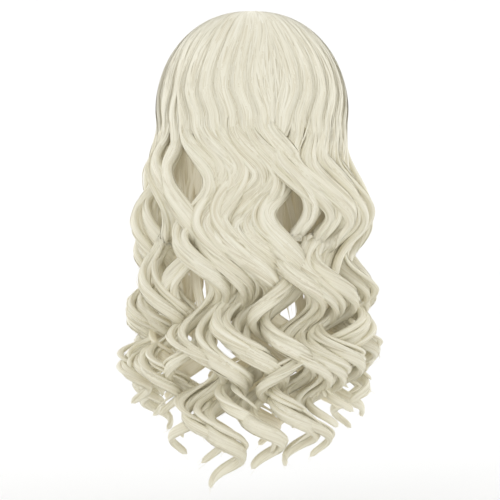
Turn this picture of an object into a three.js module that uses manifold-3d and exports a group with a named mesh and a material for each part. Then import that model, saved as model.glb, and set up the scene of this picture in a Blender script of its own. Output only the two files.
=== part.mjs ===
// A long curly wig. A net cap sits on the head. Hair is swept from a middle parting over the cap in three
// fluted sections, and from their rim hang separate locks that wave and then curl. Three straight wefts are
// sewn to the back of the cap, and inner locks hang from their ends.
// Millimetres. +Z is up, +Y is the way the wearer faces, and +X is the wearer's right. The origin is where
// the top of the head meets the inside of the cap.
import * as THREE from "three";
import { mergeVertices } from "three/addons/utils/BufferGeometryUtils.js";
import Module from "manifold-3d";

const wasm = await Module();
wasm.setup();

// Driving sizes
const HEAD_WIDTH = 148; // inside the cap, across the ears
const HEAD_LENGTH = 182; // inside the cap, forehead to back
const HEAD_HEIGHT = 86; // from the top of the head down to its widest level
const CAP_WALL = 1.8; // net with its seams
const PIECE_GAP = 0.4; // clear space kept between pieces
const CROWN_HAIR = 14; // thickness of the hair swept over the cap
const FLUTE_DEPTH = 2.6; // how deep the grooves between its strands run
const HANG_LENGTH = 340; // from the rim of the swept hair to the lowest tip
const WAVE_RADIUS = 20; // of a full curl
const LOCK_WIDTH = 16; // across the flattened lock
const LOCK_DEPTH = 9; // its thickness
const WEFT_THICKNESS = 6; // of the straight hair on a weft
const WEFT_GROOVE = 1.5; // how deep the grooves in that hair run

// Shares that shape the head form, the swept hair and every lock
const NAPE_TAPER = 0.55; // how fast the head form narrows below its widest level
const HAIRLINE_SHARE = 0.4; // of CROWN_HAIR that is left at the front hairline
const CROWN_FULLNESS = 0.3; // how much thicker it is halfway between the top and the widest level
const ROOT_SHARE = 0.8; // of a lock's width that it has at its root
const CURL_SHARE = 0.7; // of its width where it curls
const TIP_SHARE = 0.5; // of its width and thickness that is left at its tip
const WEFT_TOP = 0.08; // level where the wefts begin, as a share of HANG_LENGTH
const WEFT_END = 0.42; // level where they end
const ROOT_RISE = 0.16; // how far below its root a lock's waves reach their width
const ROOT_LEAD = 0.02; // how far above its root the waves are already beginning
const ROOT_DEPTH = 0.75; // of its backing's thickness that it has at its root
const HANG_EASE = 0.25; // how far below its root its middle line reaches its place
const TIGHTEN = 0.5; // how much shorter the waves get towards the tip
const TAPER_START = 0.78; // share of its length where it begins to narrow to its tip
const CURL_IN_START = 0.85; // share of its level where the last curl begins to close
const CURL_IN = 0.6; // of its radius that the curl has at the tip
const TIP_TURN = 0.25; // of a wave that the curls gain towards the tip
const TIP_TURN_START = 0.6; // share of its level where that begins

// How a lock changes on the way down: from first to last between the levels high and low.
const CHANGES = {
  drift: { high: 0.3, low: 0.9, first: 0, last: 1 }, // of the way from hangX to tipX
  growth: { high: 0.2, low: 0.7, first: 0.75, last: 1.15 }, // of the wave's radius
  roundness: { high: 0.1, low: 0.5, first: 0.3, last: 1 }, // depth of the wave to its width
  clearance: { high: 0.15, low: 0.45, first: 1, last: 0 }, // how far the whole wave lies outside its axis
  gather: { high: 0.35, low: 0.75, first: 1, last: CURL_SHARE }, // of the lock's width
};

// How far down the head form the rim of the swept hair runs, where 0 is the top and 1 the widest level, and
// how far below it the cap ends. Azimuth is in degrees, 0 at the back of the head and 180 at the forehead,
// and both sides are alike.
const EDGES = [
  { azimuth: 0, rim: 1, capBelow: 0.36 },
  { azimuth: 45, rim: 1, capBelow: 0.32 },
  { azimuth: 75, rim: 1, capBelow: 0.24 },
  { azimuth: 100, rim: 1, capBelow: 0.24 },
  { azimuth: 122, rim: 1, capBelow: 0.04 },
  { azimuth: 150, rim: 0.8, capBelow: 0.02 },
  { azimuth: 180, rim: 0.68, capBelow: 0.02 },
];
const HAIRLINE_AZIMUTH = 150; // where the hair has thinned out to its hairline
const THINNING_START = 0.5; // share down the form where that begins
const FLUTES = { start: 0.1, full: 0.5 }; // shares down the form between which the grooves deepen

const CROWN_SECTIONS = [
  { name: "crown_left", from: -180, to: -60 },
  { name: "crown_back", from: -60, to: 56 },
  { name: "crown_right", from: 56, to: 180 },
];
const WEFTS = [
  { name: "weft_left", from: -68, to: -24 },
  { name: "weft_middle", from: -22, to: 22 },
  { name: "weft_right", from: 24, to: 68 },
];

// The locks. azimuth is where a lock starts. hangX and hangY place its middle line, as shares of the half
// width and half length of the swept hair, and tipX is where hangX has moved to at the tip. end is the level
// of the tip and first the level of the first swing to the right, both as shares of HANG_LENGTH. pitch is
// the length of the first wave as such a share, swing a share of WAVE_RADIUS and width of LOCK_WIDTH.
const OUTER_LOCKS = table(
  ["name", "azimuth", "hangX", "hangY", "tipX", "end", "first", "pitch", "swing", "width"],
  ["left_front_1", -118, -0.88, 0.52, -0.82, 0.8, 0.14, 0.33, 0.85, 0.95],
  ["left_front_2", -107, -0.98, 0.32, -0.98, 0.88, 0.13, 0.33, 0.9, 1],
  ["left_front_3", -96, -0.98, 0.1, -1.1, 0.84, 0.12, 0.33, 0.9, 1],
  ["left_side_1", -85, -1, -0.14, -1.2, 0.8, 0.11, 0.325, 0.85, 1],
  ["left_side_2", -75, -0.96, -0.38, -1.1, 0.74, 0.1, 0.325, 0.9, 1],
  ["left_side_3", -65, -0.88, -0.64, -0.86, 0.82, 0.265, 0.42, 1, 1],
  ["left_back_1", -55, -0.68, -0.84, -0.66, 0.92, 0.3, 0.42, 0.95, 1],
  ["left_back_2", -44, -0.48, -0.96, -0.46, 0.94, 0.13, 0.43, 1, 1],
  ["left_back_3", -33, -0.3, -1.02, -0.28, 1, 0.125, 0.42, 1, 1.1],
  ["middle_back_1", -22, -0.14, -1.04, -0.08, 0.86, 0.125, 0.41, 0.95, 1],
  ["middle_back_2", -12, 0, -1.06, 0.12, 0.95, 0.12, 0.4, 1, 1.1],
  ["middle_back_3", -2, 0.14, -1.06, 0.3, 0.84, 0.12, 0.39, 0.95, 1],
  ["middle_back_4", 8, 0.28, -1.06, 0.46, 0.94, 0.12, 0.38, 1, 1.1],
  ["right_back_1", 18, 0.44, -1.02, 0.62, 0.92, 0.26, 0.365, 0.9, 1],
  ["right_back_2", 28, 0.6, -0.98, 0.76, 0.84, 0.255, 0.36, 0.95, 1],
  ["right_back_3", 39, 0.76, -0.9, 0.92, 0.8, 0.27, 0.355, 1, 1],
  ["right_side_3", 50, 0.88, -0.76, 1.06, 0.78, 0.27, 0.35, 1.05, 1.05],
  ["right_side_2", 62, 0.95, -0.56, 1.14, 0.72, 0.275, 0.345, 0.9, 1],
  ["right_side_1", 74, 0.99, -0.34, 1.18, 0.72, 0.28, 0.34, 0.85, 1],
  ["right_front_4", 85, 1.01, -0.12, 1.14, 0.76, 0.29, 0.335, 0.85, 1],
  ["right_front_3", 96, 0.98, 0.1, 1.1, 0.84, 0.3, 0.33, 0.9, 1],
  ["right_front_2", 107, 0.94, 0.32, 0.98, 0.88, 0.31, 0.33, 0.9, 1],
  ["right_front_1", 118, 0.88, 0.52, 0.82, 0.8, 0.32, 0.33, 0.85, 0.95],
);
const INNER_LOCKS = table(
  ["name", "azimuth", "hangX", "hangY", "tipX", "end", "first", "pitch", "swing", "width"],
  ["inner_left_1", -60, -0.82, -0.4, -0.84, 0.78, 0.43, 0.43, 0.85, 1],
  ["inner_left_2", -45, -0.6, -0.54, -0.6, 0.86, 0.43, 0.43, 0.85, 1],
  ["inner_left_3", -30, -0.38, -0.64, -0.36, 0.92, 0.425, 0.42, 0.85, 1],
  ["inner_middle_1", -15, -0.18, -0.68, -0.12, 0.82, 0.41, 0.41, 0.85, 1],
  ["inner_middle_2", 0, 0.02, -0.7, 0.12, 0.9, 0.4, 0.395, 0.85, 1],
  ["inner_middle_3", 15, 0.22, -0.68, 0.34, 0.86, 0.39, 0.385, 0.85, 1],
  ["inner_right_1", 30, 0.42, -0.64, 0.56, 0.88, 0.49, 0.365, 0.85, 1],
  ["inner_right_2", 45, 0.64, -0.54, 0.78, 0.8, 0.495, 0.36, 0.85, 1],
  ["inner_right_3", 60, 0.86, -0.4, 0.98, 0.74, 0.49, 0.35, 0.85, 1],
);

// Steps of the facets
const CROWN_ROWS = 6;
const CAP_ROWS = 2; // below the rim
const FRONT_COLUMNS = 3; // of the swept hair between the last lock and the parting, an odd number
const WEFT_COLUMNS = 5;
const WEFT_ROWS = 4;
const WAVE_STEPS = 7; // sections in one wave of a lock
const LOOK_AHEAD = 0.002; // levels from a section to the point that it faces

const HAIR_INSIDE = CAP_WALL + PIECE_GAP; // offsets from the head form
const HAIR_OUTSIDE = HAIR_INSIDE + CROWN_HAIR;
const HALF_WIDTH = HEAD_WIDTH / 2 + HAIR_OUTSIDE;
const HALF_LENGTH = HEAD_LENGTH / 2 + HAIR_OUTSIDE;
const CUT_MARGIN = 1.8 * PIECE_GAP; // of a lock's section, which leaves PIECE_GAP beside its slanted sides
const SECTION = [[-1, -0.2], [0, -0.8], [1, -0.2], [0.3, 1]]; // of a lock, as shares of its half sizes
const QUARTER_TURN = Math.PI / 2;
const NAPE_DROP = HEAD_HEIGHT * QUARTER_TURN; // height of one more share below the widest level

const radians = THREE.MathUtils.degToRad;
const blend = THREE.MathUtils.lerp;
const smooth = (low, high, value) => THREE.MathUtils.smoothstep(value, low, high);
const heightAt = (level) => -HEAD_HEIGHT - level * HANG_LENGTH;
const changed = ({ high, low, first, last }, level) => blend(first, last, smooth(high, low, level));

// Rows with named columns.
function table(columns, ...rows) {
  return rows.map((row) => Object.fromEntries(columns.map((column, place) => [column, row[place]])));
}

// The edges at an azimuth, eased between the rows of their table.
function edgesAt(azimuth) {
  const angle = Math.abs(azimuth);
  const next = Math.max(1, EDGES.findIndex((row) => row.azimuth >= angle));
  const [from, to] = [EDGES[next - 1], EDGES[next]];
  const ease = smooth(from.azimuth, to.azimuth, angle);
  const rim = blend(from.rim, to.rim, ease);
  return { rim, cap: rim + blend(from.capBelow, to.capBelow, ease) };
}

// A point on the head form grown by offset, at an azimuth in degrees and a share down the form.
function onForm(azimuth, share, offset) {
  const polar = Math.min(share, 1) * QUARTER_TURN;
  const below = Math.max(share - 1, 0);
  const reach = Math.sin(polar) * (1 - NAPE_TAPER * below * below);
  return new THREE.Vector3(
    (HEAD_WIDTH / 2 + offset) * reach * Math.sin(radians(azimuth)),
    -(HEAD_LENGTH / 2 + offset) * reach * Math.cos(radians(azimuth)),
    (HEAD_HEIGHT + offset) * Math.cos(polar) - HEAD_HEIGHT - below * NAPE_DROP,
  );
}

// A closed mesh as a solid that can be joined and cut, and back.
function toSolid(geometry) {
  const bare = new THREE.BufferGeometry().setAttribute("position", geometry.getAttribute("position"));
  const merged = mergeVertices(bare.setIndex(geometry.index));
  return new wasm.Manifold(new wasm.Mesh({
    numProp: 3,
    vertProperties: merged.attributes.position.array,
    triVerts: new Uint32Array(merged.index.array),
  }));
}

function toGeometry(solid) {
  const mesh = solid.getMesh();
  return new THREE.BufferGeometry()
    .setAttribute("position", new THREE.BufferAttribute(mesh.vertProperties, 3))
    .setIndex(new THREE.BufferAttribute(mesh.triVerts, 1));
}

function solidOf(points, faces) {
  return toSolid(new THREE.BufferGeometry().setFromPoints(points).setIndex(faces.flat()));
}

// The faces between two rings of points, here and there being the place of each ring's first point. The
// rings run out along one side and back along the other, and both sides are split along like diagonals.
function band(here, there, steps, size) {
  return Array.from({ length: steps }, (_, step) => {
    const next = (step + 1) % size;
    const [near, far, farNext, nearNext] = [here + step, there + step, there + next, here + next];
    return step < size / 2
      ? [[near, far, farNext], [near, farNext, nearNext]]
      : [[near, far, nearNext], [far, farNext, nearNext]];
  }).flat();
}

// A solid through rings of equal size. A ring runs along one long side and back along the other, so that
// its end faces are made of strips from side to side.
function sweptSolid(rings) {
  const size = rings[0].length;
  const last = (rings.length - 1) * size;
  const sides = rings.slice(1).flatMap((_, ring) => band(ring * size, (ring + 1) * size, size, size));
  const ends = Array.from({ length: size / 2 - 1 }, (_, step) => {
    const [near, next, across, back] = [step, step + 1, size - 2 - step, size - 1 - step];
    return [
      [near, next, across],
      [near, across, back],
      [last + near, last + across, last + next],
      [last + near, last + back, last + across],
    ];
  }).flat();
  return solidOf(rings.flat(), [...sides, ...ends]);
}

// The azimuths of the swept hair's columns: ridges over the locks, a groove between each two, and so on in
// front to the parting, which is a groove.
function crownAzimuths() {
  const locks = OUTER_LOCKS.map((row) => row.azimuth);
  const last = locks.at(-1);
  const overLocks = locks.slice(1).flatMap((azimuth, place) => [locks[place], (locks[place] + azimuth) / 2]);
  const inFront = Array.from({ length: 2 * FRONT_COLUMNS }, (_, step) => {
    const turned = last + (step * (360 + locks[0] - last)) / (2 * FRONT_COLUMNS);
    return turned > 180 ? turned - 360 : turned;
  });
  return [...overLocks, ...inFront];
}

// A dome open below. Each azimuth has a profile that runs down the inside and back up the outside.
function domeSolid(azimuths, sharesAt, inside, outside) {
  const profiles = azimuths.map((azimuth) => {
    const shares = sharesAt(azimuth);
    return [
      ...shares.map((share) => onForm(azimuth, share, inside)),
      ...shares.toReversed().map((share) => onForm(azimuth, share, outside(azimuth, share))),
    ];
  });
  const size = profiles[0].length;
  const poleInside = profiles.length * size;
  const poleOutside = poleInside + 1;
  const faces = profiles.flatMap((_, column) => {
    const here = column * size;
    const there = ((column + 1) % profiles.length) * size;
    return [
      [poleInside, there, here],
      ...band(here, there, size - 1, size),
      [poleOutside, here + size - 1, there + size - 1],
    ];
  });
  return solidOf([...profiles.flat(), onForm(0, 0, inside), onForm(0, 0, outside(0, 0))], faces);
}

function crownShares(azimuth) {
  const { rim } = edgesAt(azimuth);
  return Array.from({ length: CROWN_ROWS }, (_, row) => (rim * (row + 1)) / CROWN_ROWS);
}

function crownSolid() {
  const azimuths = crownAzimuths();
  const lastLock = OUTER_LOCKS.at(-1).azimuth;
  const outside = (azimuth, share) => {
    const atFront = smooth(lastLock, HAIRLINE_AZIMUTH, Math.abs(azimuth));
    const thinned = blend(1, HAIRLINE_SHARE, atFront * smooth(THINNING_START, 1, share));
    const fuller = 1 + CROWN_FULLNESS * Math.sin(Math.PI * share);
    const groove = (azimuths.indexOf(azimuth) % 2) * FLUTE_DEPTH * smooth(FLUTES.start, FLUTES.full, share);
    return HAIR_INSIDE + (CROWN_HAIR * fuller - groove) * thinned;
  };
  return domeSolid(azimuths, crownShares, HAIR_INSIDE, outside);
}

// The cap has the hair's rows, and a column under each ridge and all of the front, so that the two lie close.
function capSolid(margin) {
  const lastLock = OUTER_LOCKS.at(-1).azimuth;
  const isKept = (azimuth, column) => column % 2 === 0 || Math.abs(azimuth) > lastLock;
  const azimuths = crownAzimuths().filter(isKept);
  const shares = (azimuth) => {
    const { rim, cap } = edgesAt(azimuth);
    const below = Array.from({ length: CAP_ROWS }, (_, row) => blend(rim, cap, (row + 1) / CAP_ROWS));
    return [...crownShares(azimuth), ...below];
  };
  return domeSolid(azimuths, shares, -margin, () => CAP_WALL + margin);
}

// A wedge of space between two azimuths, held back from both by half a gap.
function wedgeSolid({ from, to }) {
  const edges = [from, to].map((azimuth) => new THREE.Vector2(
    HALF_WIDTH * Math.sin(radians(azimuth)),
    -HALF_LENGTH * Math.cos(radians(azimuth)),
  ).normalize());
  const middle = edges[0].clone().add(edges[1]).normalize();
  const apex = middle.clone().multiplyScalar(PIECE_GAP / 2 / Math.abs(middle.cross(edges[0])));
  const corners = edges.map((edge) => apex.clone().addScaledVector(edge, 4 * HALF_LENGTH));
  const shape = new THREE.Shape([apex, ...corners]);
  const geometry = new THREE.ExtrudeGeometry(shape, { depth: 2 * HEAD_HEIGHT, bevelEnabled: false });
  return toSolid(geometry.translate(0, 0, -1.5 * HEAD_HEIGHT));
}

// A point on a weft, which follows the cap down to its edge and then hangs straight.
function onWeft(azimuth, level, offset) {
  const height = heightAt(level);
  const share = 1 + (-HEAD_HEIGHT - height) / NAPE_DROP;
  return onForm(azimuth, Math.min(share, edgesAt(azimuth).cap), offset).setZ(height);
}

function weftSolid({ from, to }, margin) {
  const reach = margin / HANG_LENGTH;
  const turn = THREE.MathUtils.radToDeg(margin / HALF_WIDTH);
  const levels = Array.from({ length: WEFT_ROWS }, (_, row) => (
    blend(WEFT_TOP - reach, WEFT_END + reach, row / (WEFT_ROWS - 1))
  ));
  const rings = Array.from({ length: WEFT_COLUMNS }, (_, column) => {
    const azimuth = blend(from - turn, to + turn, column / (WEFT_COLUMNS - 1));
    const outside = HAIR_INSIDE + WEFT_THICKNESS - (column % 2) * WEFT_GROOVE + margin;
    return [
      ...levels.map((level) => onWeft(azimuth, level, HAIR_INSIDE - margin)),
      ...levels.toReversed().map((level) => onWeft(azimuth, level, outside)),
    ];
  });
  return sweptSolid(rings);
}

// Where each kind of lock leaves its backing, and how thick it is there.
const OUTER_ROOT = {
  level: 0,
  depth: ROOT_DEPTH * CROWN_HAIR,
  at: (azimuth) => onForm(azimuth, 1, HAIR_INSIDE + CROWN_HAIR / 2),
};
const INNER_ROOT = {
  level: WEFT_END,
  depth: ROOT_DEPTH * WEFT_THICKNESS,
  at: (azimuth) => onWeft(azimuth, WEFT_END, HAIR_INSIDE + WEFT_THICKNESS / 2),
};

// The middle line of a lock at a level, and the way that its face turns there. The line winds to the right
// round its axis, from a flat wave near the root to a round curl below.
function lockLine(row, root, level) {
  const start = root.at(row.azimuth);
  const hang = smooth(root.level, root.level + HANG_EASE, level);
  const drift = changed(CHANGES.drift, level);
  const axis = new THREE.Vector3(
    blend(start.x, HALF_WIDTH * blend(row.hangX, row.tipX, drift), hang),
    blend(start.y, HALF_LENGTH * row.hangY, hang),
    heightAt(level),
  );
  const out = new THREE.Vector3(axis.x, axis.y, 0).normalize();
  const side = new THREE.Vector3(-out.y, out.x, 0);
  const turns = (waveLength(level) - waveLength(row.first)) / row.pitch;
  const gained = TIP_TURN * smooth(TIP_TURN_START * row.end, row.end, level);
  const angle = (turns + gained) * 2 * Math.PI + QUARTER_TURN;
  const rise = smooth(root.level - ROOT_LEAD, root.level + ROOT_RISE, level);
  const closing = blend(1, CURL_IN, smooth(CURL_IN_START * row.end, row.end, level));
  const radius = WAVE_RADIUS * row.swing * rise * changed(CHANGES.growth, level) * closing;
  const roundness = changed(CHANGES.roundness, level);
  const clearance = changed(CHANGES.clearance, level);
  const point = axis
    .addScaledVector(side, radius * Math.sin(angle))
    .addScaledVector(out, radius * roundness * (Math.cos(angle) + clearance));
  const face = out.clone()
    .multiplyScalar(1 - roundness * rise)
    .addScaledVector(side, roundness * rise * Math.sin(angle))
    .addScaledVector(out, roundness * rise * Math.cos(angle));
  return { point, face };
}

// The waves passed down to a level, times the pitch, and the level where they are that many.
function waveLength(level) {
  return level * (1 + TIGHTEN * level);
}

function levelOf(length) {
  return (Math.sqrt(1 + 4 * TIGHTEN * length) - 1) / (2 * TIGHTEN);
}

// A lock as a flattened ribbon of four sides, grown by a margin all round.
function lockSolid(row, root, margin) {
  const [top, bottom] = [waveLength(root.level), waveLength(row.end)];
  const steps = Math.ceil((WAVE_STEPS * (bottom - top)) / row.pitch);
  const rings = Array.from({ length: steps + 1 }, (_, step) => {
    const reach = step === steps ? margin / HANG_LENGTH : 0;
    const level = levelOf(blend(top, bottom, step / steps)) + reach;
    const { point, face } = lockLine(row, root, level);
    const ahead = lockLine(row, root, level + LOOK_AHEAD).point;
    const along = step === 0 ? new THREE.Vector3(0, 0, -1) : ahead.sub(point).normalize();
    const across = new THREE.Vector3().crossVectors(along, face).normalize();
    const through = new THREE.Vector3().crossVectors(across, along);
    const low = step / steps;
    const rooted = smooth(root.level, root.level + ROOT_RISE, level);
    const taper = blend(1, TIP_SHARE, smooth(TAPER_START, 1, low));
    const gathered = blend(ROOT_SHARE, 1, rooted) * changed(CHANGES.gather, level);
    const halfWidth = 0.5 * LOCK_WIDTH * row.width * taper * gathered + margin;
    const halfDepth = 0.5 * blend(root.depth, LOCK_DEPTH, rooted) * taper + margin;
    const down = step === 0 ? PIECE_GAP : 0;
    return SECTION.map(([wide, deep]) => point.clone()
      .addScaledVector(across, wide * halfWidth)
      .addScaledVector(through, deep * halfDepth)
      .add(new THREE.Vector3(0, 0, -down)));
  });
  return sweptSolid(rings);
}

// The largest body that is left of a solid once the others are cut from it.
function cutBy(solid, others) {
  const near = (other) => {
    const [box, around] = [solid.boundingBox(), other.boundingBox()];
    return [0, 1, 2].every((axis) => box.min[axis] < around.max[axis] && box.max[axis] > around.min[axis]);
  };
  const left = others.filter(near).reduce((rest, other) => rest.subtract(other), solid);
  return left.decompose().sort((one, other) => other.volume() - one.volume())[0];
}

const hair = new THREE.MeshStandardMaterial({ color: 0xe2ddca, roughness: 0.45, metalness: 0 });
const innerHair = new THREE.MeshStandardMaterial({ color: 0xbfb69a, roughness: 0.55, metalness: 0 });
const net = new THREE.MeshStandardMaterial({ color: 0xcfc4a8, roughness: 0.8, metalness: 0 });

const wig = new THREE.Group();
wig.name = "long_curly_wig";

function addPiece(name, solid, material) {
  const mesh = new THREE.Mesh(toGeometry(solid), material);
  mesh.name = name;
  wig.add(mesh);
}

addPiece("cap_net", capSolid(0), net);
const crown = crownSolid();
CROWN_SECTIONS.forEach((section) => addPiece(section.name, crown.intersect(wedgeSolid(section)), hair));
WEFTS.forEach((weft) => addPiece(weft.name, weftSolid(weft, 0), innerHair));

// Each lock gives way to the cap, the wefts and the locks before it.
const inTheWay = [capSolid(PIECE_GAP), ...WEFTS.map((weft) => weftSolid(weft, PIECE_GAP))];
function addLocks(rows, root, material) {
  rows.forEach((row) => {
    const lock = lockSolid(row, root, 0);
    addPiece(row.name, cutBy(lock, inTheWay), material);
    inTheWay.push(lockSolid(row, root, CUT_MARGIN).add(lock));
  });
}

addLocks(OUTER_LOCKS, OUTER_ROOT, hair);
addLocks(INNER_LOCKS, INNER_ROOT, innerHair);

export default wig;
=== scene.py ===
"""The long curly wig, seen from behind: swept crown, waved and curled locks, wefts and net cap."""
import math

import bpy
import numpy as np
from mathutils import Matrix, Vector


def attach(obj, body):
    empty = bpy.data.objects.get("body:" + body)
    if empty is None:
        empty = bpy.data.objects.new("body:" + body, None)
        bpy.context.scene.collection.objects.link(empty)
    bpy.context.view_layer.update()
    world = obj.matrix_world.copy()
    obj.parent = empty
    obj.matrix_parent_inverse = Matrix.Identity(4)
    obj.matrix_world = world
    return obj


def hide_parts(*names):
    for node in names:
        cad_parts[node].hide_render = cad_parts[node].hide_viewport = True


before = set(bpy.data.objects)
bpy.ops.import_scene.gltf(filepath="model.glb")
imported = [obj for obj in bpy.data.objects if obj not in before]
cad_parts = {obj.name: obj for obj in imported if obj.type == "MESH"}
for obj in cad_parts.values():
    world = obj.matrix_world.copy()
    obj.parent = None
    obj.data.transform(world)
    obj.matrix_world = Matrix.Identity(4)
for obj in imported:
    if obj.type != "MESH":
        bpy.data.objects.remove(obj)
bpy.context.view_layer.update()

MM = 0.001
TURN = 2 * math.pi
QUARTER_TURN = math.pi / 2

# The part's own sizes, in millimetres, and the shares that shape it.
HEAD_WIDTH = 148
HEAD_LENGTH = 182
HEAD_HEIGHT = 86
CROWN_HAIR = 14
HANG_LENGTH = 340
WAVE_RADIUS = 20
LOCK_WIDTH = 16
LOCK_DEPTH = 9
WEFT_THICKNESS = 6
NAPE_TAPER = 0.55
HAIRLINE_SHARE = 0.4
CROWN_FULLNESS = 0.3
ROOT_SHARE = 0.8
ROOT_DEPTH = 0.75
WEFT_TOP = 0.08
WEFT_END = 0.42
HAIR_INSIDE = 2.2
HAIR_OUTSIDE = HAIR_INSIDE + CROWN_HAIR
HALF_WIDTH = HEAD_WIDTH / 2 + HAIR_OUTSIDE
HALF_LENGTH = HEAD_LENGTH / 2 + HAIR_OUTSIDE
NAPE_DROP = HEAD_HEIGHT * math.pi / 2

EDGE_AZIMUTHS = (0, 45, 75, 100, 122, 150, 180)
EDGE_RIMS = (1, 1, 1, 1, 1, 0.8, 0.68)
EDGE_CAPS = (0.36, 0.32, 0.24, 0.24, 0.04, 0.02, 0.02)

# Levels run from 0 at the rim of the swept hair to 1 at the longest tip. These are the levels between which a
# lock drifts to its tip's place, its wave grows, rounds into a curl, loses its distance from the head, takes
# its lower phase and turns to its own hand, and its section loses its width at the top and is gathered.
DRIFTS = (0.3, 0.9)
GROWS = (0.2, 0.7)
ROUNDS = (0.16, 0.6)
CLEARS = (0.15, 0.45)
SHIFTS = (0.2, 0.75)
TURNS_TO_HAND = (0.28, 0.52)
SPREADS = (0.26, 0.5)
GATHERS = (0.35, 0.75)

# The line of a lock. ROOT_RISE and HANG_EASE are levels, and the wave's radius is a share of WAVE_RADIUS.
ROOT_LEAD = 0.02
ROOT_RISE = 0.16
ROOT_SINK = 4
HANG_EASE = 0.25
STAND_EASE = (0.05, 0.3)
TIGHTEN = 0.5
HIGH_WAVE = 0.9
WAVE_GAIN = 0.08
HIGH_ROUNDNESS = 0.3
LOW_ROUNDNESS = 0.95
UNEVEN_RATE = 11
UNEVEN_SHIFT = 9
LOOK_AHEAD = 0.002

# Its tip: shares of its length where changes begin, turns that it gains, and how far it hooks up.
CURL_IN_START = 0.85
CURL_IN = 0.4
TIP_TURN_START = 0.6
TIP_TURN = 0.25
HOOK_START = 0.84
HOOK_END = 1.02
HOOK_TURN = 0.05
TIP_HOOK = 7
TAPER_START = 0.82
TIP_SHARE = 0.6

# Its section: shares of its width and depth, and the levels above and below the start of an inner lock
# between which its top opens out from a point.
CURL_SHARE = 0.7
SPREAD_WIDTH = 0.3
SPREAD_DEPTH = 0.15
BODY_DEPTH = 0.85
POINTED_SHARE = 0.15
POINTED_ABOVE = 0.09
POINTED_BELOW = 0.04

# Strands: shares of their width, and how far across and along the streaks of colour they may start. The last
# two are the width of a degree and of a lock's way round in the streaks, in millimetres.
STRAND_END = 0.08
STRAND_THINNING = 0.9
STRAND_WIDTHS = (0.6, 1.3)
STREAK_OFFSETS = 900
STREAK_STARTS = 400
UV_PER_DEGREE = 1.7
UV_ROUND_LOCK = 44

# The swept hair. Azimuths are degrees from the middle of the back, and shares run from 0 at the top of the
# head to 1 at the level where the locks start.
FRONT_BEGINS = (118, 150)
HAIRLINE_BEGINS = (112, 135)
HAIRLINE_BAND = 0.16
HAIRLINE_THINNING = 0.82
THINNING = (0.5, 1)
GROOVE_DEPTH = 2
GROOVES = (0.3, 1)
SWAY = 5.4
SWAY_GROWS = (0.36, 0.8)
SWAY_FADES = (0.82, 1.02)
EARLY_WAVE = 0.2
APEX = 0.004
SHELL_PER_DEGREE = 1.6
SHELL_ROWS = 38
SHELL_SINK = 0.25
SHELL_STREAKS = 400
ROLL_ROWS = 6
ROLL_DROP = 0.05
HAIRLINE_ROLL = 0.012
CROWN_STEPS = 52
CROWN_PER_DEGREE = 5
CROWN_SIDE_STRANDS = 260
CROWN_REACH = (0.06, 0.26)
CROWN_LIFT = 0.3
LOCK_SPACING = 5.4
BACK_EDGE = 121
SWEPT_FROM = 80
SWEPT_STARTS = (0.02, 0.675)

# The wefts. Strands swing aside by degrees, and ripple, lift and bulge by millimetres.
WEFT_COLUMNS = 72
WEFT_ROWS = 18
WEFT_STRANDS = 260
WEFT_STEPS = 32
WEFT_WAVE_RATE = 22
WEFT_WAVE_SHIFT = 1.7
WEFT_SWING = 2.6
WEFT_RIPPLE = 2.2
WEFT_LIFT = 1.5
WEFT_BULGE = 4
WEFT_WAVES = (0.1, 0.2)
WEFT_BULGES = (0.1, 0.24)

# The net cap, in millimetres: its faces, its hem and its stitched rows.
CAP_COLUMNS = 97
CAP_ROWS = 60
HEM_EDGE = (6, 7.5)
HEM_HEIGHT = 0.35
CAP_INSIDE = 0.45
CAP_OUTSIDE = 1.35
TRACK_SPACING = 9
TRACK_HEIGHT = 0.3

WEFTS = {"weft_left": (-68, -24), "weft_middle": (-22, 22), "weft_right": (24, 68)}
CROWN_SECTIONS = {"crown_left": (-180, -60), "crown_back": (-60, 56), "crown_right": (56, 180)}

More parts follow.
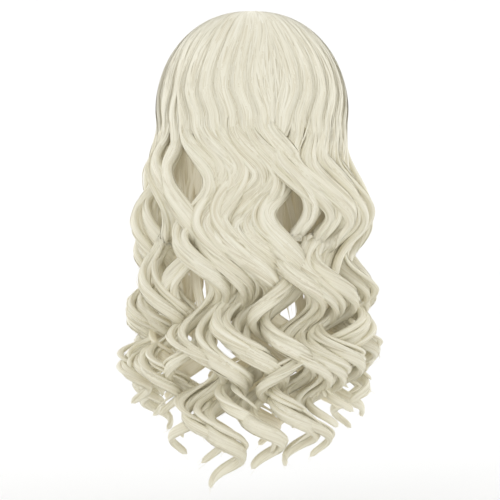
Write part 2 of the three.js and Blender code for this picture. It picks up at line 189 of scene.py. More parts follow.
COLUMNS = ("azimuth", "hang_x", "hang_y", "tip_x", "end", "first", "pitch", "swing", "width")
OUTER_LOCKS = {
    "left_front_1": (-118, -0.88, 0.52, -0.82, 0.8, 0.14, 0.33, 0.85, 0.95),
    "left_front_2": (-107, -0.98, 0.32, -0.98, 0.88, 0.13, 0.33, 0.9, 1),
    "left_front_3": (-96, -0.98, 0.1, -1.1, 0.84, 0.12, 0.33, 0.9, 1),
    "left_side_1": (-85, -1, -0.14, -1.2, 0.8, 0.11, 0.325, 0.85, 1),
    "left_side_2": (-75, -0.96, -0.38, -1.1, 0.74, 0.1, 0.325, 0.9, 1),
    "left_side_3": (-65, -0.88, -0.64, -0.86, 0.82, 0.265, 0.42, 1, 1),
    "left_back_1": (-55, -0.68, -0.84, -0.66, 0.92, 0.3, 0.42, 0.95, 1),
    "left_back_2": (-44, -0.48, -0.96, -0.46, 0.94, 0.13, 0.43, 1, 1),
    "left_back_3": (-33, -0.3, -1.02, -0.28, 1, 0.125, 0.42, 1, 1.1),
    "middle_back_1": (-22, -0.14, -1.04, -0.08, 0.86, 0.125, 0.41, 0.95, 1),
    "middle_back_2": (-12, 0, -1.06, 0.12, 0.95, 0.12, 0.4, 1, 1.1),
    "middle_back_3": (-2, 0.14, -1.06, 0.3, 0.84, 0.12, 0.39, 0.95, 1),
    "middle_back_4": (8, 0.28, -1.06, 0.46, 0.94, 0.12, 0.38, 1, 1.1),
    "right_back_1": (18, 0.44, -1.02, 0.62, 0.92, 0.26, 0.365, 0.9, 1),
    "right_back_2": (28, 0.6, -0.98, 0.76, 0.84, 0.255, 0.36, 0.95, 1),
    "right_back_3": (39, 0.76, -0.9, 0.92, 0.8, 0.27, 0.355, 1, 1),
    "right_side_3": (50, 0.88, -0.76, 1.06, 0.78, 0.27, 0.35, 1.05, 1.05),
    "right_side_2": (62, 0.95, -0.56, 1.14, 0.72, 0.275, 0.345, 0.9, 1),
    "right_side_1": (74, 0.99, -0.34, 1.18, 0.72, 0.28, 0.34, 0.85, 1),
    "right_front_4": (85, 1.01, -0.12, 1.14, 0.76, 0.29, 0.335, 0.85, 1),
    "right_front_3": (96, 0.98, 0.1, 1.1, 0.84, 0.3, 0.33, 0.9, 1),
    "right_front_2": (107, 0.94, 0.32, 0.98, 0.88, 0.31, 0.33, 0.9, 1),
    "right_front_1": (118, 0.88, 0.52, 0.82, 0.8, 0.32, 0.33, 0.85, 0.95),
}
INNER_LOCKS = {
    "inner_left_1": (-60, -0.82, -0.4, -0.84, 0.78, 0.43, 0.43, 0.85, 1),
    "inner_left_2": (-45, -0.6, -0.54, -0.6, 0.86, 0.43, 0.43, 0.85, 1),
    "inner_left_3": (-30, -0.38, -0.64, -0.36, 0.92, 0.425, 0.42, 0.85, 1),
    "inner_middle_1": (-15, -0.18, -0.68, -0.12, 0.82, 0.41, 0.41, 0.85, 1),
    "inner_middle_2": (0, 0.02, -0.7, 0.12, 0.9, 0.4, 0.395, 0.85, 1),
    "inner_middle_3": (15, 0.22, -0.68, 0.34, 0.86, 0.39, 0.385, 0.85, 1),
    "inner_right_1": (30, 0.42, -0.64, 0.56, 0.88, 0.49, 0.365, 0.85, 1),
    "inner_right_2": (45, 0.64, -0.54, 0.78, 0.8, 0.495, 0.36, 0.85, 1),
    "inner_right_3": (60, 0.86, -0.4, 0.98, 0.74, 0.49, 0.35, 0.85, 1),
}


def table(rows):
    return {name: dict(zip(COLUMNS, values)) for name, values in rows.items()}


OUTER = table(OUTER_LOCKS)
INNER = table(INNER_LOCKS)


def make_uneven(rows, seed):
    """Sets each lock a little out of step with its neighbours."""
    rng = np.random.default_rng(seed)
    for number, row in enumerate(rows.values()):
        side = 1 if number % 2 else -1
        pair = 1 if number % 4 < 2 else -1
        row["phase_high"] = pair * 0.32 + rng.uniform(-0.1, 0.1)
        row["phase_low"] = 0.35 + side * rng.uniform(0.2, 0.95)
        row["stand"] = side * rng.uniform(0.5, 4)
        row["uneven"] = rng.uniform(0.04, 0.14)
        row["handed"] = -1 if number % 5 == 1 else 1
        row["width"] *= rng.uniform(0.8, 1.15)


make_uneven(OUTER, 11)
make_uneven(INNER, 12)


# Small functions over arrays.
def smooth(low, high, value):
    share = np.clip((value - low) / (high - low), 0, 1)
    return share * share * (3 - 2 * share)


def blend(first, last, share):
    return first + (last - first) * share


def unit(vectors):
    return vectors / np.maximum(np.linalg.norm(vectors, axis=-1, keepdims=True), 1e-9)


def scaled(vectors, shares):
    return vectors * np.asarray(shares)[..., None]


def eased_edge(values, azimuth):
    """A value of the edges' table at azimuths, eased between its rows."""
    angle = np.abs(azimuth)
    place = np.clip(np.searchsorted(EDGE_AZIMUTHS, angle), 1, len(EDGE_AZIMUTHS) - 1)
    edges = np.array(EDGE_AZIMUTHS, float)
    rows = np.array(values, float)
    share = np.clip((angle - edges[place - 1]) / (edges[place] - edges[place - 1]), 0, 1)
    return blend(rows[place - 1], rows[place], share * share * (3 - 2 * share))


def rim_at(azimuth):
    return eased_edge(EDGE_RIMS, azimuth)


def cap_at(azimuth):
    return rim_at(azimuth) + eased_edge(EDGE_CAPS, azimuth)


def on_form(azimuth, share, offset):
    azimuth, share, offset = np.broadcast_arrays(azimuth, share, offset)
    turned = np.radians(azimuth)
    polar = np.minimum(share, 1) * QUARTER_TURN
    below = np.maximum(share - 1, 0)
    reach = np.sin(polar) * (1 - NAPE_TAPER * below * below)
    return np.stack([
        (HEAD_WIDTH / 2 + offset) * reach * np.sin(turned),
        -(HEAD_LENGTH / 2 + offset) * reach * np.cos(turned),
        (HEAD_HEIGHT + offset) * np.cos(polar) - HEAD_HEIGHT - below * NAPE_DROP,
    ], axis=-1)


def height_at(level):
    return -HEAD_HEIGHT - level * HANG_LENGTH


def on_weft(azimuth, level, offset):
    azimuth, level, offset = np.broadcast_arrays(azimuth, level, offset)
    height = height_at(level)
    share = 1 + (-HEAD_HEIGHT - height) / NAPE_DROP
    points = on_form(azimuth, np.minimum(share, cap_at(azimuth)), offset)
    points[..., 2] = height
    return points


# Where the locks start: the level, how far above it their hair begins, the depth of a lock there and its
# distance from the head form. Then how many strands, loose strands and wisps each lock has.
OUTER_ROOT = {
    "level": 0,
    "above": 0.03,
    "depth": ROOT_DEPTH * CROWN_HAIR,
    "offset": HAIR_INSIDE + CROWN_HAIR / 2,
    "strands": 46,
    "loose": 5,
    "wisps": 3,
}
INNER_ROOT = {
    "level": WEFT_END,
    "above": 0.07,
    "depth": ROOT_DEPTH * WEFT_THICKNESS,
    "offset": HAIR_INSIDE + WEFT_THICKNESS / 2,
    "strands": 30,
    "loose": 2,
    "wisps": 2,
}


def wave_length(level):
    return level * (1 + TIGHTEN * level)


def level_of(length):
    return (np.sqrt(1 + 4 * TIGHTEN * length) - 1) / (2 * TIGHTEN)


def line_at(row, root, level):
    """The middle line of a lock at levels, and the way that its face turns there."""
    top = root["level"]
    if top == 0:
        start = on_form(row["azimuth"], 1, root["offset"])
    else:
        start = on_weft(row["azimuth"], top, root["offset"])
    hang = smooth(top, top + HANG_EASE, level)
    drift = smooth(*DRIFTS, level)
    axis = np.stack([
        blend(start[0], HALF_WIDTH * blend(row["hang_x"], row["tip_x"], drift), hang),
        blend(start[1], HALF_LENGTH * row["hang_y"], hang),
        height_at(level),
    ], axis=-1)
    out = axis.copy()
    out[..., 2] = 0
    out = unit(out)
    end = row["end"]
    near_tip = smooth(HOOK_START * end, HOOK_END * end, level)
    axis[..., 2] += TIP_HOOK * near_tip
    side = np.stack([-out[..., 1], out[..., 0], np.zeros_like(level)], axis=-1)
    turns = (wave_length(level) - wave_length(row["first"])) / row["pitch"]
    turns = turns + TIP_TURN * smooth(TIP_TURN_START * end, end, level) + HOOK_TURN * near_tip
    phase = blend(row["phase_high"], row["phase_low"], smooth(*SHIFTS, level))
    angle = turns * TURN + QUARTER_TURN + phase
    rise = smooth(top - ROOT_LEAD, top + ROOT_RISE, level)
    closing = 1 - CURL_IN * smooth(CURL_IN_START * end, end, level)
    grown = HIGH_WAVE + WAVE_GAIN * smooth(*GROWS, level)
    radius = WAVE_RADIUS * row["swing"] * rise * grown * closing
    radius = radius * (1 + row["uneven"] * np.sin(level * UNEVEN_RATE + row["phase_high"] * UNEVEN_SHIFT))
    roundness = blend(HIGH_ROUNDNESS, LOW_ROUNDNESS, smooth(*ROUNDS, level))
    clearance = 1 - smooth(*CLEARS, level)
    axis = axis + scaled(out, row["stand"] * smooth(top + STAND_EASE[0], top + STAND_EASE[1], level))
    if top > 0:
        axis = axis - scaled(out, ROOT_SINK * (1 - rise))
    handed = blend(1, row["handed"], smooth(*TURNS_TO_HAND, level))
    point = (axis + scaled(side, radius * np.sin(angle))
             + scaled(out, radius * roundness * (handed * np.cos(angle) + clearance)))
    turned = roundness * rise * np.abs(handed)
    face = scaled(out, 1 - turned + turned * handed * np.cos(angle)) + scaled(side, turned * np.sin(angle))
    return point, face


def lock_frame(row, root, level):
    """Point, across, through, half width and half depth of a lock at levels."""
    point, face = line_at(row, root, level)
    ahead, _ = line_at(row, root, level + LOOK_AHEAD)
    along = unit(ahead - point)
    across = unit(np.cross(along, face))
    through = np.cross(across, along)
    start = root["level"]
    rooted = smooth(start, start + ROOT_RISE, level)
    top, bottom = wave_length(start), wave_length(row["end"])
    low = (wave_length(level) - top) / (bottom - top)
    taper = blend(1, TIP_SHARE, smooth(TAPER_START, 1, low))
    gathered = blend(ROOT_SHARE, 1, rooted) * blend(1, CURL_SHARE, smooth(*GATHERS, level))
    if start > 0:
        spread = np.zeros_like(level)
        pointed = smooth(start - POINTED_ABOVE, start + POINTED_BELOW, level)
        gathered = gathered * blend(POINTED_SHARE, 1, pointed)
    else:
        spread = 1 - smooth(*SPREADS, level)
    half_width = 0.5 * LOCK_WIDTH * row["width"] * taper * gathered * (1 + SPREAD_WIDTH * spread * rooted)
    half_depth = 0.5 * blend(root["depth"], LOCK_DEPTH, rooted) * taper * (1 + SPREAD_DEPTH * spread * rooted)
    return point, across, through, half_width, half_depth


# Meshes. A sheet is a grid of points, and a piece is made of many sheets.
class Sheets:
    """Grids of points gathered into one mesh. UV is in millimetres: u across the hair, v along it."""

    def __init__(self):
        self.points, self.faces, self.uvs, self.count = [], [], [], 0

    def add(self, points, u, v, closed=False):
        """points is (sheets, rows, columns, 3), with u and v of the same shape less the last axis."""
        sheets, rows, columns = points.shape[:3]
        u, v = np.broadcast_to(u, points.shape[:3]), np.broadcast_to(v, points.shape[:3])
        place = np.arange(sheets * rows * columns).reshape(sheets, rows, columns) + self.count
        if closed:
            place = np.concatenate([place, place[:, :, :1]], axis=2)
            u = np.concatenate([u, u[:, :, :1]], axis=2)
            v = np.concatenate([v, v[:, :, :1]], axis=2)
        near, far = slice(None, -1), slice(1, None)
        corners = [(slice(None), *corner) for corner in ((near, near), (far, near), (far, far), (near, far))]
        self.faces.append(np.stack([place[c] for c in corners], axis=-1).reshape(-1, 4))
        uv = np.stack([np.stack([u[c], v[c]], axis=-1) for c in corners], axis=-2)
        self.uvs.append(uv.reshape(-1, 2))
        self.points.append(points.reshape(-1, 3))
        self.count += sheets * rows * columns

    def piece(self, name, material):
        points = np.concatenate(self.points) * MM
        faces = np.concatenate(self.faces)
        uvs = np.concatenate(self.uvs) * MM
        mesh = bpy.data.meshes.new(name)
        mesh.vertices.add(len(points))
        mesh.vertices.foreach_set("co", points.astype(np.float32).ravel())
        mesh.loops.add(faces.size)
        mesh.loops.foreach_set("vertex_index", faces.astype(np.int32).ravel())
        mesh.polygons.add(len(faces))
        mesh.polygons.foreach_set("loop_start", np.arange(0, faces.size, 4, dtype=np.int32))
        mesh.polygons.foreach_set("use_smooth", np.ones(len(faces), bool))
        layer = mesh.uv_layers.new(name="UVMap")
        layer.uv.foreach_set("vector", uvs.astype(np.float32).ravel())
        mesh.update(calc_edges=True)
        mesh.validate()
        mesh.materials.append(material)
        piece = bpy.data.objects.new(name, mesh)
        bpy.context.scene.collection.objects.link(piece)
        return piece


def ribbons(sheets, points, sideways, half_widths, tone, length_from):
    """Flat strands: points and sideways are (strands, steps, 3), half_widths (strands, steps)."""
    beside = scaled(sideways, half_widths)
    edges = np.stack([points - beside, points + beside], axis=2)
    u = np.stack([tone - half_widths, tone + half_widths], axis=2)
    steps = np.linalg.norm(np.diff(points, axis=1), axis=-1)
    v = length_from + np.concatenate([np.zeros_like(steps[:, :1]), np.cumsum(steps, axis=1)], axis=1)
    sheets.add(edges, u, v[:, :, None])


def strand_taper(share, start=0.06, end=0.7):
    """The share of its width that a strand has at shares of its length."""
    return np.maximum(smooth(-0.02, start, share) * (1 - STRAND_THINNING * smooth(end, 1, share)), STRAND_END)


def each(rng, low, high, count):
    """A random value for each strand, as a column."""
    return rng.uniform(low, high, count)[:, None]


def drifting(rng, level, shortest, longest, count):
    """A slow wave down each strand, whose length is a random level between two."""
    return np.sin(TURN * (level / each(rng, shortest, longest, count) + each(rng, 0, 1, count)))


def lay_strands(sheets, rng, points, sideways, width, taper, widths=STRAND_WIDTHS):
    """Adds ribbons of random widths, with their streaks of colour taken from random places."""
    count = len(points)
    half = 0.5 * width * each(rng, *widths, count) * taper[None]
    tone = each(rng, 0, STREAK_OFFSETS, count)
    ribbons(sheets, points, sideways, half, tone, each(rng, 0, STREAK_STARTS, count))


def hair_body(sheets, rng, row, root, top, sides=22, steps=108, ridge=0.04):
    """The body of a lock: a swept oval whose ridges run down it and wander slowly round it."""
    level = level_of(np.linspace(wave_length(top) if top > 0 else top, wave_length(row["end"]), steps))
    point, across, through, half_width, half_depth = lock_frame(row, root, level)
    share = np.linspace(0, 1, steps)
    close = np.sqrt(np.clip(1 - smooth(0.985, 1, share), 0, 1)) * 0.97 + 0.03
    angle = np.linspace(0, TURN, sides, endpoint=False)
    wander = np.cumsum(rng.normal(0, 0.012, steps))
    ridges = np.zeros((steps, sides))
    for count, size in ((3, 0.8), (7, 1.0), (11, 0.9)):
        shift = rng.uniform(0, TURN)
        ridges += size * np.sin(count * angle[None] + shift + 2.5 * wander[:, None] * count)
    radius = 1 + ridge * ridges
    wide = scaled(across, half_width * close)[:, None] * (np.cos(angle) * radius)[..., None]
    deep = scaled(through, half_depth * close * BODY_DEPTH)[:, None] * (np.sin(angle) * radius)[..., None]
    points = point[:, None] + wide + deep
    u = rng.uniform(0, STREAK_OFFSETS) + angle / TURN * UV_ROUND_LOCK
    lengths = np.concatenate([[0], np.cumsum(np.linalg.norm(np.diff(point, axis=0), axis=1))])
    sheets.add(points[None], u[None, None], lengths[None, :, None], closed=True)


def lock_strands(sheets, rng, row, root, top, count, width, lift, steps=80, loose=0.0):
    """Flat strands on a lock's surface, which drift slowly round it and end at different levels."""
    start = top + rng.uniform(-0.01, 0.06, count)
    reach = row["end"] * rng.uniform(0.86, 1.015, count)
    share = np.linspace(0, 1, steps)
    low, high = wave_length(np.maximum(start, 0)) + np.minimum(start, 0), wave_length(reach)
    length = blend(low[:, None], high[:, None], share[None])
    level = np.where(length > 0, level_of(np.maximum(length, 0)), length)
    flat = level.ravel()
    point, across, through, half_width, half_depth = lock_frame(row, root, flat)
    shape = (count, steps)
    point, across, through = (a.reshape(*shape, 3) for a in (point, across, through))
    half_width, half_depth = half_width.reshape(shape), half_depth.reshape(shape)
    around = each(rng, 0, TURN, count)
    around = around + 0.35 * drifting(rng, level, 0.25, 0.6, count)
    off = lift * each(rng, 0.2, 1, count)
    off = off + loose * (0.5 + 0.5 * drifting(rng, level, 0.2, 0.5, count))
    wide, deep = np.cos(around), np.sin(around)
    normal = unit(scaled(across, wide * half_depth) + scaled(through, deep * half_width))
    sideways = unit(scaled(across, -deep * half_width) + scaled(through, wide * half_depth))
    points = (point + scaled(across, wide * half_width) + scaled(through, deep * half_depth * BODY_DEPTH)
              + scaled(normal, off))
    lay_strands(sheets, rng, points, sideways, width, strand_taper(share))


def wisp_rows(rng, row, count):
    """Thinner bundles beside a lock, a little out of step with it."""
    for _ in range(count):
        side = rng.choice((-1, 1))
        yield dict(
            row,
            hang_x=row["hang_x"] + side * rng.uniform(0.02, 0.07),
            tip_x=row["tip_x"] + side * rng.uniform(0.02, 0.09),
            hang_y=row["hang_y"] + rng.uniform(-0.03, 0.03),
            swing=row["swing"] * rng.uniform(0.8, 1.1),
            phase_high=row["phase_high"] + rng.uniform(-0.6, 0.6),
            phase_low=row["phase_low"] + rng.uniform(-0.7, 0.7),
            stand=rng.uniform(-3, 5),
            end=row["end"] * rng.uniform(0.86, 1.0),
            width=row["width"] * rng.uniform(0.25, 0.5),
        )


def lock_piece(name, row, root, material, seed):
    rng = np.random.default_rng(seed)
    sheets = Sheets()
    top = root["level"] - root["above"]
    hair_body(sheets, rng, row, root, top)
    lock_strands(sheets, rng, row, root, top, root["strands"], width=1.6, lift=0.45)
    lock_strands(sheets, rng, row, root, top, root["loose"], width=0.6, lift=0.6, loose=2.0)
    for wisp in wisp_rows(rng, row, root["wisps"]):
        hair_body(sheets, rng, wisp, root, top, sides=8, steps=84)
        lock_strands(sheets, rng, wisp, root, top, 5, width=1.1, lift=0.4, steps=76, loose=0.5)
    piece = sheets.piece("hair_" + name, material)
    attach(piece, "root")
    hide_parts(name)
    return piece


# The swept hair.
LOCK_NAMES = list(OUTER)
LOCK_AZIMUTHS = np.array([OUTER[name]["azimuth"] for name in LOCK_NAMES], float)


def crown_offset(azimuth, share):
    """How far the swept hair's outside stands off the head form, without its fine strands."""
    at_front = smooth(*FRONT_BEGINS, np.abs(azimuth))
    at_hairline = smooth(*HAIRLINE_BEGINS, np.abs(azimuth))
    rim = rim_at(azimuth)
    thinned = blend(1, HAIRLINE_SHARE, at_front * smooth(*THINNING, share))
    thinned = thinned * (1 - HAIRLINE_THINNING * at_hairline * smooth(rim - HAIRLINE_BAND, rim, share))
    place = np.clip(np.searchsorted(LOCK_AZIMUTHS, azimuth), 1, len(LOCK_AZIMUTHS) - 1)
    before, after = LOCK_AZIMUTHS[place - 1], LOCK_AZIMUTHS[place]
    within = np.clip((azimuth - before) / (after - before), 0, 1)
    groove = np.sin(math.pi * within) ** 4 * smooth(*GROOVES, share) * GROOVE_DEPTH
    fullness = 1 + CROWN_FULLNESS * np.sin(math.pi * np.minimum(share, 1))
    return HAIR_INSIDE + (CROWN_HAIR * fullness - groove) * thinned


SWAYS = np.array([-1 if OUTER[name]["first"] < EARLY_WAVE else 1 for name in LOCK_NAMES], float)


def sway_at(azimuth, share):
    """Degrees that the swept hair's strands turn aside above the rim, where their waves begin."""
    side = np.interp(azimuth, LOCK_AZIMUTHS, SWAYS, left=0, right=0)
    return SWAY * side * smooth(*SWAY_GROWS, share) * (1 - smooth(*SWAY_FADES, share))


def crown_shell(sheets, rng, start, stop):
    """The fluted surface under the strands, whose lower rows turn in under the rim to the cap."""
    columns = int((stop - start) * SHELL_PER_DEGREE) + 1
    azimuth = np.linspace(start, stop, columns)
    fine = rng.normal(0, 0.1, columns)
    share = np.linspace(APEX, 1, SHELL_ROWS)[:, None] * rim_at(azimuth)[None]
    depth = smooth(0.05, 0.4, share)
    offset = crown_offset(azimuth[None], share) - SHELL_SINK + fine[None] * depth
    outside = on_form(azimuth[None] + sway_at(azimuth[None], share), share, offset)
    low = np.linspace(0, 1, ROLL_ROWS + 1)[1:, None]
    turned = np.sin(low * QUARTER_TURN)
    roll = blend(ROLL_DROP, HAIRLINE_ROLL, smooth(*HAIRLINE_BEGINS, np.abs(azimuth)))[None]
    sunk = blend(offset[-1][None], HAIR_INSIDE, 1 - np.cos(low * QUARTER_TURN))
    under = on_form(azimuth[None], share[-1][None] + roll * turned, sunk)
    points = np.concatenate([outside, under])
    u = (azimuth * UV_PER_DEGREE + SHELL_STREAKS)[None]
    v = np.concatenate([share * NAPE_DROP, share[-1][None] * NAPE_DROP + turned * 8])
    sheets.add(points[None], u[None], v[None])


def crown_strands(sheets, rng, azimuth_end, azimuth_at, start, width, hug=None):
    """Strands over the crown that run on down the locks nearest to their ends. azimuth_at gives each
    strand's azimuth at shares of its way, and start is where it starts as a share of the form. Hug draws a
    strand out to the hairline, from 0 to 1."""
    count, steps = len(azimuth_end), CROWN_STEPS
    reach = rng.uniform(*CROWN_REACH, count)
    place = np.abs(azimuth_end[:, None] - LOCK_AZIMUTHS[None]).argmin(axis=1)
    lateral = np.clip((azimuth_end - LOCK_AZIMUTHS[place]) / LOCK_SPACING, -1, 1)
    start_level = (start - 1) * NAPE_DROP / HANG_LENGTH
    share = np.linspace(0, 1, steps)[None]
    level = blend(start_level[:, None], reach[:, None], share)
    form_share = np.minimum(1 + level * HANG_LENGTH / NAPE_DROP, 1)
    way = np.clip((form_share - start[:, None]) / (1 - start[:, None]), 0, 1)
    azimuth = azimuth_at(way)
    unswayed = azimuth
    if hug is not None:
        form_share = form_share + (rim_at(azimuth) - form_share) * hug[:, None] * smooth(0, 0.1, way)
    azimuth = azimuth + sway_at(azimuth, form_share) * (way > 0.02)
    raised = CROWN_LIFT * each(rng, -0.1, 1, count)
    raised = raised + 0.15 * drifting(rng, level, 0.1, 0.4, count)
    offset = crown_offset(unswayed, form_share) + raised * (1 if hug is None else 1 - 0.5 * hug[:, None])
    over = on_form(azimuth, np.minimum(form_share, rim_at(azimuth)), offset)
    over[..., 2] -= np.maximum(level, 0) * HANG_LENGTH
    ahead = on_form(azimuth + 0.5, form_share, offset)
    across_crown = unit(ahead - on_form(azimuth, form_share, offset))
    points, sideways = over.copy(), across_crown.copy()
    for lock in np.unique(place):
        mine = place == lock
        row = OUTER[LOCK_NAMES[lock]]
        flat = level[mine].ravel()
        point, across, through, half_width, half_depth = lock_frame(row, OUTER_ROOT, flat)
        side = -np.repeat(lateral[mine], steps)
        deep = np.sqrt(np.clip(1 - side * side, 0.04, 1))
        lifted = raised[mine].ravel() * (1 - 0.9 * smooth(0.6, 1, np.tile(share[0], mine.sum())))
        on_lock = (point + scaled(across, side * half_width)
                   + scaled(through, deep * half_depth * BODY_DEPTH + 0.3 + lifted))
        joined = smooth(-0.03, 0.1, flat)[:, None]
        shape = points[mine].shape
        points[mine] = blend(points[mine].reshape(-1, 3), on_lock, joined).reshape(shape)
        turned = unit(scaled(across, deep * half_width) - scaled(through, side * half_depth))
        sideways[mine] = unit(blend(sideways[mine].reshape(-1, 3), -turned, joined)).reshape(shape)
    lay_strands(sheets, rng, points, sideways, width, strand_taper(share[0], 0.1, 0.75))


def crown_piece(name, start, stop, material, seed):
    """A section of the crown: strands straight down the back, and swept aside from the parting in front."""
    rng = np.random.default_rng(seed)
    sheets = Sheets()
    crown_shell(sheets, rng, start, stop)
    back_from, back_to = max(start, -BACK_EDGE), min(stop, BACK_EDGE)
    count = int((back_to - back_from) * CROWN_PER_DEGREE)
    azimuth_end = rng.uniform(back_from, back_to, count)
    begin = np.maximum(2 / math.pi * np.arcsin(rng.uniform(0, 0.96, count)), 0.01)
    sway = rng.normal(0, 1.6, count)

    def straight(way):
        return azimuth_end[:, None] + sway[:, None] * np.sin(way * math.pi * 1.5)

    crown_strands(sheets, rng, azimuth_end, straight, begin, width=2.0)
    for side, edge in ((-1, start), (1, stop)):
        if abs(edge) < 180:
            continue
        place = rng.uniform(0.02, 1, CROWN_SIDE_STRANDS)
        begin = blend(*SWEPT_STARTS, place)
        end = side * blend(SWEPT_FROM, BACK_EDGE, place ** 1.2)

        def swept(way, side=side, end=end):
            return blend(side * 180.0, end[:, None], np.sin(way * QUARTER_TURN))

        crown_strands(sheets, rng, end, swept, begin, width=2.2, hug=place ** 6)
    piece = sheets.piece("hair_" + name, material)
    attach(piece, "root")
    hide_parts(name)
    return piece


def weft_piece(name, start, stop, material, seed):
    """A weft: two sheets with ragged lower edges, under strands that wave together in clumps."""
    rng = np.random.default_rng(seed)
    sheets = Sheets()
    azimuth = np.linspace(start - 1, stop + 1, WEFT_COLUMNS)
    fine = rng.normal(0, 0.3, WEFT_COLUMNS)
    ragged = rng.uniform(-0.03, 0.03, WEFT_COLUMNS)
    low_edge = WEFT_END - 0.05 + 0.03 * np.sin(azimuth * 0.9) + ragged
    level = blend(WEFT_TOP, low_edge[None], np.linspace(0, 1, WEFT_ROWS)[:, None])
    thick = WEFT_THICKNESS * blend(1, 0.35, smooth(0.2, WEFT_END, level))
    outside = on_weft(azimuth[None], level, HAIR_INSIDE + thick - 1.2 + fine[None])
    inside = on_weft(azimuth[None], level, HAIR_INSIDE + 0.5)
    v = level * HANG_LENGTH
    sheets.add(outside[None], (azimuth * UV_PER_DEGREE)[None, None], v[None])
    sheets.add(inside[None, :, ::-1], (azimuth[::-1] * UV_PER_DEGREE)[None, None], v[None])
    count = WEFT_STRANDS
    along = np.linspace(0, 1, WEFT_STEPS)[None]
    place = each(rng, start + 0.6, stop - 0.6, count)
    low = each(rng, 0.38, 0.62, count)
    path = blend(WEFT_TOP, low, along)
    depth = HAIR_INSIDE + blend(0.6, WEFT_THICKNESS, each(rng, 0, 1, count) ** 0.5)
    clump = np.round(place / 6)
    wave = path * WEFT_WAVE_RATE + clump * WEFT_WAVE_SHIFT
    waved = smooth(*WEFT_WAVES, path)
    turned = place + WEFT_SWING * np.sin(wave) * waved
    stray = rng.normal(0, 0.5, count)[:, None]
    turned = turned + stray * np.sin(path * 9 + each(rng, 0, 6, count))
    depth = depth + WEFT_RIPPLE * np.cos(wave) * waved + WEFT_LIFT
    depth = depth + WEFT_BULGE * smooth(*WEFT_BULGES, path)
    points = on_weft(turned, path, depth)
    sideways = unit(on_weft(turned + 0.5, path, depth) - points)
    lay_strands(sheets, rng, points, sideways, 2.0, strand_taper(along[0]), widths=(0.5, 1.3))
    piece = sheets.piece("hair_" + name, material)
    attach(piece, "root")
    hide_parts(name)
    return piece


def cap_piece(material):
    """The net cap: a smooth dome with a hem all round its edge and rows of stitching inside."""
    sheets = Sheets()
    azimuth = np.linspace(-180, 180, CAP_COLUMNS)
    share = np.linspace(APEX, 1, CAP_ROWS)[:, None] * cap_at(azimuth)[None]
    from_edge = (cap_at(azimuth)[None] - share) * NAPE_DROP
    hem = 1 - smooth(*HEM_EDGE, from_edge)
    track = np.cos(share * NAPE_DROP / TRACK_SPACING * TURN) ** 8
    inside = on_form(azimuth[None], share, CAP_INSIDE - HEM_HEIGHT * hem - TRACK_HEIGHT * track)
    outside = on_form(azimuth[None], share, CAP_OUTSIDE + HEM_HEIGHT * hem)
    points = np.concatenate([inside, outside[::-1]])
    v = np.concatenate([share, share[::-1] + 3]) * NAPE_DROP
    sheets.add(points[None], (azimuth * 1.4)[None, None], v[None])
    piece = sheets.piece("net_cap", material)
    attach(piece, "root")
    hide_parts("cap_net")
    return piece


# Materials.
def new_material(name, roughness):
    material = bpy.data.materials.new(name)
    material.use_nodes = True
    nodes = material.node_tree.nodes
    shader = nodes["Principled BSDF"]
    shader.inputs["Roughness"].default_value = roughness
    return material, nodes, material.node_tree.links, shader


def hair_material(name, dark, middle, light, glow):
    """Pale hair with streaks along it. Its weak glow stands for the light that passes through pale hair."""
    material, nodes, links, shader = new_material(name, 0.42)
    shader.inputs["Anisotropic"].default_value = 0.65
    shader.inputs["Specular IOR Level"].default_value = 0.5
    shader.inputs["Emission Color"].default_value = (1, 0.9, 0.68, 1)
    shader.inputs["Emission Strength"].default_value = glow
    tangent = nodes.new("ShaderNodeTangent")
    tangent.direction_type = "UV_MAP"
    tangent.uv_map = "UVMap"
    links.new(tangent.outputs[0], shader.inputs["Tangent"])
    uv = nodes.new("ShaderNodeUVMap")
    uv.uv_map = "UVMap"

    def streaks(across, along, detail):
        mapping = nodes.new("ShaderNodeMapping")
        mapping.inputs["Scale"].default_value = (across, along, 1)
        noise = nodes.new("ShaderNodeTexNoise")
        noise.inputs["Scale"].default_value = 1
        noise.inputs["Detail"].default_value = detail
        links.new(uv.outputs[0], mapping.inputs["Vector"])
        links.new(mapping.outputs[0], noise.inputs["Vector"])
        return noise.outputs["Fac"]

    fine, broad = streaks(1400, 9, 2), streaks(160, 12, 1)
    mix = nodes.new("ShaderNodeMix")
    mix.inputs["Factor"].default_value = 0.45
    links.new(fine, mix.inputs["A"])
    links.new(broad, mix.inputs["B"])
    ramp = nodes.new("ShaderNodeValToRGB")
    for place, colour in ((0.32, dark), (0.5, middle), (0.68, light)):
        stop = ramp.color_ramp.elements.new(place)
        stop.color = (*colour, 1)
    ramp.color_ramp.elements.remove(ramp.color_ramp.elements[0])
    ramp.color_ramp.elements.remove(ramp.color_ramp.elements[-1])
    links.new(mix.outputs[0], ramp.inputs[0])
    links.new(ramp.outputs[0], shader.inputs["Base Color"])
    bump = nodes.new("ShaderNodeBump")
    bump.inputs["Strength"].default_value = 0.35
    bump.inputs["Distance"].default_value = 0.0004
    links.new(fine, bump.inputs["Height"])
    links.new(bump.outputs[0], shader.inputs["Normal"])
    return material


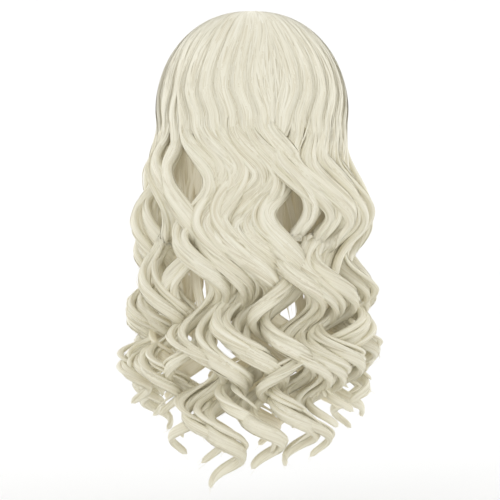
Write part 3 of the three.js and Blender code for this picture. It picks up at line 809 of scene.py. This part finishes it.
def net_material():
    material, nodes, links, shader = new_material("cap_net_mesh", 0.8)
    uv = nodes.new("ShaderNodeUVMap")
    uv.uv_map = "UVMap"
    weave = nodes.new("ShaderNodeTexVoronoi")
    weave.feature = "DISTANCE_TO_EDGE"
    weave.inputs["Scale"].default_value = 620
    weave.inputs["Randomness"].default_value = 0.15
    links.new(uv.outputs[0], weave.inputs["Vector"])
    ramp = nodes.new("ShaderNodeValToRGB")
    ramp.color_ramp.elements[0].color = (0.62, 0.55, 0.42, 1)
    ramp.color_ramp.elements[0].position = 0.04
    ramp.color_ramp.elements[1].color = (0.4, 0.34, 0.25, 1)
    ramp.color_ramp.elements[1].position = 0.2
    links.new(weave.outputs["Distance"], ramp.inputs[0])
    links.new(ramp.outputs[0], shader.inputs["Base Color"])
    bump = nodes.new("ShaderNodeBump")
    bump.invert = True
    bump.inputs["Strength"].default_value = 0.6
    bump.inputs["Distance"].default_value = 0.0005
    links.new(weave.outputs["Distance"], bump.inputs["Height"])
    links.new(bump.outputs[0], shader.inputs["Normal"])
    return material


outer_hair = hair_material(
    "ivory_hair", dark=(0.64, 0.58, 0.42), middle=(0.84, 0.805, 0.655), light=(0.91, 0.885, 0.76), glow=0.02)
# The hair inside is the same hair as the outer locks, coloured for how light falls on it. Its middle and
# light tones are a little darker, which is painted shade. Its glow is stronger, which is painted light that
# lightens the shaded gaps between the locks.
inner_hair = hair_material(
    "ivory_hair_inside",
    dark=(0.7, 0.64, 0.485), middle=(0.82, 0.775, 0.62), light=(0.88, 0.845, 0.715), glow=0.07)
net = net_material()

cap = cap_piece(net)
for seed, (name, (start, stop)) in enumerate(CROWN_SECTIONS.items()):
    crown_piece(name, start, stop, outer_hair, 100 + seed)
for seed, (name, (start, stop)) in enumerate(WEFTS.items()):
    weft_piece(name, start, stop, inner_hair, 200 + seed)
for seed, (name, row) in enumerate(OUTER.items()):
    lock_piece(name, row, OUTER_ROOT, outer_hair, 300 + seed)
for seed, (name, row) in enumerate(INNER.items()):
    lock_piece(name, row, INNER_ROOT, inner_hair, 400 + seed)


# Stage, light and camera.
def stage_sheet():
    """A floor that bends up into a backdrop, in millimetres."""
    sheets = Sheets()
    bend = np.linspace(0, QUARTER_TURN, 17)
    floor, radius, front, back, top = -470, 900, -3500, 2600, 3600
    profile = [(front, floor)]
    profile += [(back + radius * math.sin(a), floor + radius * (1 - math.cos(a))) for a in bend]
    profile.append((back + radius, top))
    profile = np.array(profile)
    wide = np.linspace(-5000, 5000, 3)
    points = np.zeros((len(profile), 3, 3))
    points[..., 0] = wide[None]
    points[..., 1] = profile[:, :1]
    points[..., 2] = profile[:, 1:]
    sheets.add(points[None], wide[None, None], profile[None, :, :1])
    material, _, _, shader = new_material("studio_white", 0.9)
    shader.inputs["Base Color"].default_value = (0.93, 0.93, 0.925, 1)
    sheet = sheets.piece("studio_floor", material)


def area_light(name, place, aim, size, power):
    light = bpy.data.lights.new(name, "AREA")
    light.shape = "DISK"
    light.size = size
    light.energy = power
    lamp = bpy.data.objects.new(name, light)
    lamp.location = place
    lamp.rotation_mode = "QUATERNION"
    lamp.rotation_quaternion = (Vector(aim) - Vector(place)).to_track_quat("-Z", "Y")
    bpy.context.scene.collection.objects.link(lamp)


stage_sheet()
wig, backdrop = (0, 0, -0.2), (0, 3.4, 0.2)
area_light("key", (-1.2, -2.2, 0.9), wig, 1.4, 6.5)
area_light("fill", (1.6, -1.8, 0.2), wig, 1.6, 4)
area_light("top", (0, -0.4, 1.9), wig, 1.6, 0.3)
area_light("backdrop_left", (-2.2, 1.0, 1.6), backdrop, 1.6, 18)
area_light("backdrop_right", (2.2, 1.0, 1.6), backdrop, 1.6, 18)
area_light("rim_left", (-1.9, 1.1, 0.1), wig, 0.8, 3)
area_light("rim_right", (1.9, 1.1, 0.1), wig, 0.8, 3)

world = bpy.data.worlds.new("studio")
world.use_nodes = True
world.node_tree.nodes["Background"].inputs["Color"].default_value = (1, 1, 1, 1)
world.node_tree.nodes["Background"].inputs["Strength"].default_value = 0.82
bpy.context.scene.world = world
bpy.context.scene.view_settings.view_transform = "Standard"

camera = bpy.data.objects.new("camera", bpy.data.cameras.new("camera"))
camera.data.sensor_width = 36
camera.data.lens = 152.6
camera.data.clip_end = 50
camera.location = (-0.00184, -2.0, -0.207)
camera.rotation_euler = (math.pi / 2, 0, 0)
bpy.context.scene.collection.objects.link(camera)
bpy.context.scene.camera = camera
